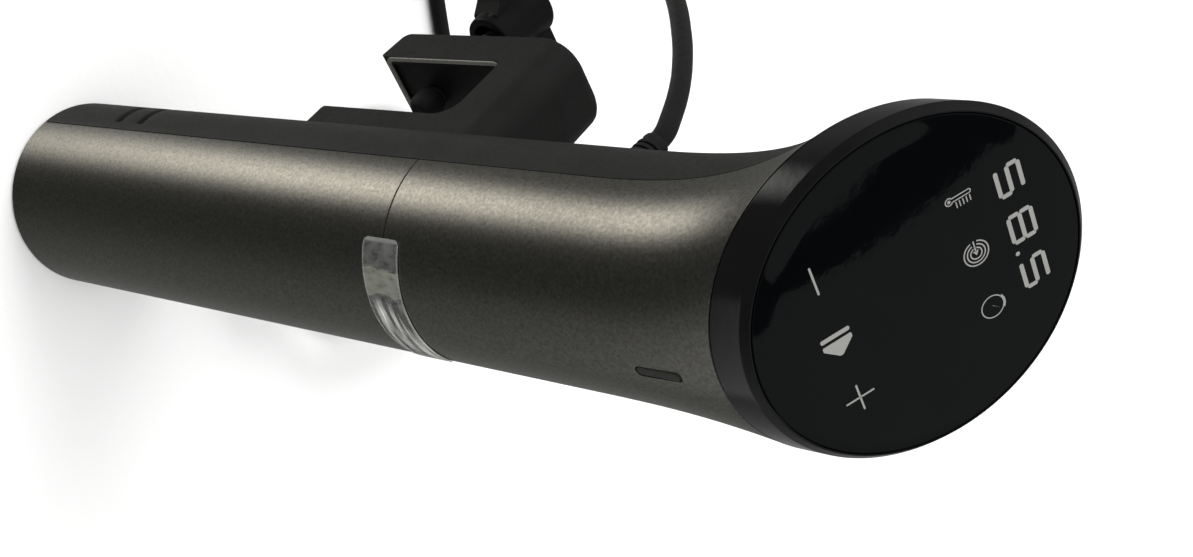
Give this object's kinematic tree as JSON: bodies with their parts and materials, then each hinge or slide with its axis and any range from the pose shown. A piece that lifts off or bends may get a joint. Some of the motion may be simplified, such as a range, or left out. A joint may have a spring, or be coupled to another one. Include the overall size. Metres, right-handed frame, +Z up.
{
  "type": "sous vide circulator",
  "caption": "Slim immersion circulator with a tilted round touch display, flared head, rear screw clamp for a pot wall, and a mains lead.",
  "frame": {"origin": "centre of the flat foot face, on the body's axis", "axes": "+Z up along the body to the head, +Y to the back where the clamp is, +X to the user's right"},
  "size_m": [0.1908, 0.2309, 0.3551],
  "materials": {
    "metal_shell": "fine bead-blasted warm gunmetal, satin sheen",
    "rear_plastic": "fine moulded grain, matte",
    "clamp_plastic": "fine moulded grain, matte",
    "knob_plastic": "moulded, satin",
    "bezel_gloss": "polished gloss black",
    "display_glass": "polished black touch glass with printed grey symbols",
    "lens_grey": "satin dark grey diffuser",
    "clear_film": "thin grey film",
    "rubber_black": "soft matte rubber",
    "cord_jacket": "satin black lead jacket",
    "plug_rubber": "moulded plug, satin",
    "steel": "bright stainless steel",
    "dark_steel": "black zinc-coated steel, oiled",
    "aluminium": "extruded, plain",
    "brass": "plain brass",
    "light_plastic": "natural light plastic",
    "black_part": "black moulded part",
    "board_green": "green solder mask",
    "blue_sleeve": "blue shrink sleeve",
    "copper_wound": "varnished winding in a brown core"
  },
  "bodies": {
    "housing": {"board_capacitor": "blue_sleeve", "board_relay": "black_part", "board_transformer": "copper_wound", "bracket_screw_lower": "steel", "bracket_screw_upper": "steel", "chassis": "light_plastic", "clamp_bracket": "clamp_plastic", "cord_coil": "cord_jacket", "cord_tie": "rubber_black", "display_bezel": "bezel_gloss", "display_board": "board_green", "display_glass": "display_glass", "drive_motor": "steel", "end_cap": "rear_plastic", "grip_pad": "rubber_black", "head_gasket": "rubber_black", "heat_sink": "aluminium", "heater_coil": "steel", "indicator_lens": "lens_grey", "level_rod_long": "steel", "level_rod_short": "steel", "motor_mount": "rear_plastic", "plug_blade_line": "brass", "plug_blade_neutral": "brass", "plug_body": "plug_rubber", "plug_ground_pin": "brass", "plug_tail": "cord_jacket", "power_board": "board_green", "power_cord": "cord_jacket", "rear_shell": "rear_plastic", "seal_plate": "light_plastic", "seal_ring": "rubber_black", "shaft_seal": "rubber_black", "strain_relief": "rubber_black", "temperature_probe": "steel", "upper_front_shell": "metal_shell"},
    "skirt": {"skirt_shell": "metal_shell", "film_label": "clear_film"},
    "rotor": {"impeller_shaft": "steel", "impeller": "light_plastic", "cooling_fan": "black_part"},
    "pad": {"pressure_pad": "rubber_black"},
    "screw": {"clamp_screw": "dark_steel", "clamp_knob": "knob_plastic"}
  },
  "joints": [
    {"name": "knob_turn", "type": "hinge", "parent": "pad", "child": "screw", "pos_m": [0, 0.08, 0.12], "axis": [0, -1, 0], "range_deg": [0, 2340]},
    {"name": "clamp_travel", "type": "slide", "parent": "housing", "child": "pad", "axis": [0, -1, 0], "range_m": [0, 0.0162]},
    {"name": "impeller_spin", "type": "hinge", "parent": "housing", "child": "rotor", "pos_m": [0, 0, 0.06], "axis": [0, 0, 1], "continuous": true},
    {"name": "skirt_slide", "type": "slide", "parent": "housing", "child": "skirt", "axis": [0, 0, -1], "range_m": [0, 0.09]}
  ],
  "couplings": [
    {"joint": "knob_turn", "follows": "clamp_travel", "rad_per_m": 2513.3}
  ]
}
